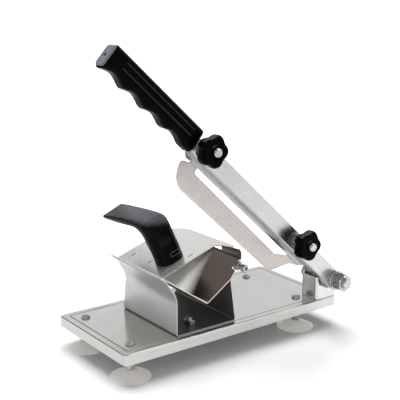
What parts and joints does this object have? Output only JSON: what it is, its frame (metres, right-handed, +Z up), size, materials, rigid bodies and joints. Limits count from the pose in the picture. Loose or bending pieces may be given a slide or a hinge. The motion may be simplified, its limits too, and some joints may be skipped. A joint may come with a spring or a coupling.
{
  "type": "frozen meat slicer",
  "caption": "Hand slicer for frozen meat: steel tray on suction feet, V trough with a sliding hand presser, and a long hinged knife arm with a finger-grip handle.",
  "frame": {"origin": "middle of the slicer's outer box, on the surface that the suction feet stand on", "axes": "+X along the tray toward the knife arm's pivot, +Y from the knife's side to the presser's free end, +Z up"},
  "size_m": [0.3762, 0.2684, 0.3998],
  "materials": {
    "sheet_steel": "satin",
    "fastener_steel": "polished",
    "blade_steel": "satin",
    "knob_plastic": "matte",
    "grip_plastic": "matte",
    "presser_plastic": "gloss",
    "cap_plastic": "matte",
    "white_silicone": "translucent white"
  },
  "bodies": {
    "base": {"base_tray": "sheet_steel", "trough_stand": "sheet_steel", "trough": "sheet_steel", "pivot_bracket": "sheet_steel", "foot_screw_front_left": "fastener_steel", "foot_screw_front_right": "fastener_steel", "foot_screw_back_left": "fastener_steel", "foot_screw_back_right": "fastener_steel", "foot_lock_nut_front_left": "fastener_steel", "foot_lock_nut_front_right": "fastener_steel", "foot_lock_nut_back_left": "fastener_steel", "foot_lock_nut_back_right": "fastener_steel", "foot_nut_front_left": "fastener_steel", "foot_nut_front_right": "fastener_steel", "foot_nut_back_left": "fastener_steel", "foot_nut_back_right": "fastener_steel", "stand_bolt_front": "fastener_steel", "stand_bolt_back": "fastener_steel", "stand_nut_front": "fastener_steel", "stand_nut_back": "fastener_steel", "guide_nut": "fastener_steel", "bracket_bolt_front": "fastener_steel", "bracket_bolt_back": "fastener_steel", "bracket_nut_front": "fastener_steel", "bracket_nut_back": "fastener_steel", "pivot_bolt": "fastener_steel", "pivot_spacer": "fastener_steel", "pivot_washer": "fastener_steel", "pivot_lock_ring": "fastener_steel", "pivot_nut": "fastener_steel", "foot_cup_front_left": "white_silicone", "foot_cup_front_right": "white_silicone", "foot_cup_back_left": "white_silicone", "foot_cup_back_right": "white_silicone"},
    "arm": {"arm_bar": "sheet_steel", "blade_holder": "sheet_steel", "blade": "blade_steel", "clamp_bolt_low": "fastener_steel", "clamp_bolt_high": "fastener_steel", "clamp_nut_low": "fastener_steel", "clamp_nut_high": "fastener_steel", "clamp_washer_low": "fastener_steel", "clamp_washer_high": "fastener_steel", "arm_handle": "grip_plastic", "handle_cap": "cap_plastic"},
    "knob_low": {"star_knob_low": "knob_plastic"},
    "knob_high": {"star_knob_high": "knob_plastic"},
    "guide": {"guide_bolt": "fastener_steel"},
    "presser": {"presser_plate": "sheet_steel", "presser_handle": "presser_plastic", "presser_screw_front": "fastener_steel", "presser_screw_back": "fastener_steel"}
  },
  "joints": [
    {"name": "arm_swing", "type": "hinge", "parent": "base", "child": "arm", "pos_m": [0.1684, -0.1006, 0.072], "axis": [0, 1, 0], "range_deg": [-41.5, 40]},
    {"name": "knob_low_turn", "type": "hinge", "parent": "arm", "child": "knob_low", "pos_m": [0.0979, -0.1216, 0.13746], "axis": [0, 1, 0], "continuous": true},
    {"name": "knob_high_turn", "type": "hinge", "parent": "arm", "child": "knob_high", "pos_m": [-0.05444, -0.1216, 0.27657], "axis": [0, 1, 0], "continuous": true},
    {"name": "guide_bolt_travel", "type": "slide", "parent": "base", "child": "guide", "axis": [0, 1, 0], "range_m": [-0.005, 0.004]},
    {"name": "presser_slide", "type": "slide", "parent": "base", "child": "presser", "axis": [0, 1, 0], "range_m": [-0.012, 0.045]}
  ]
}
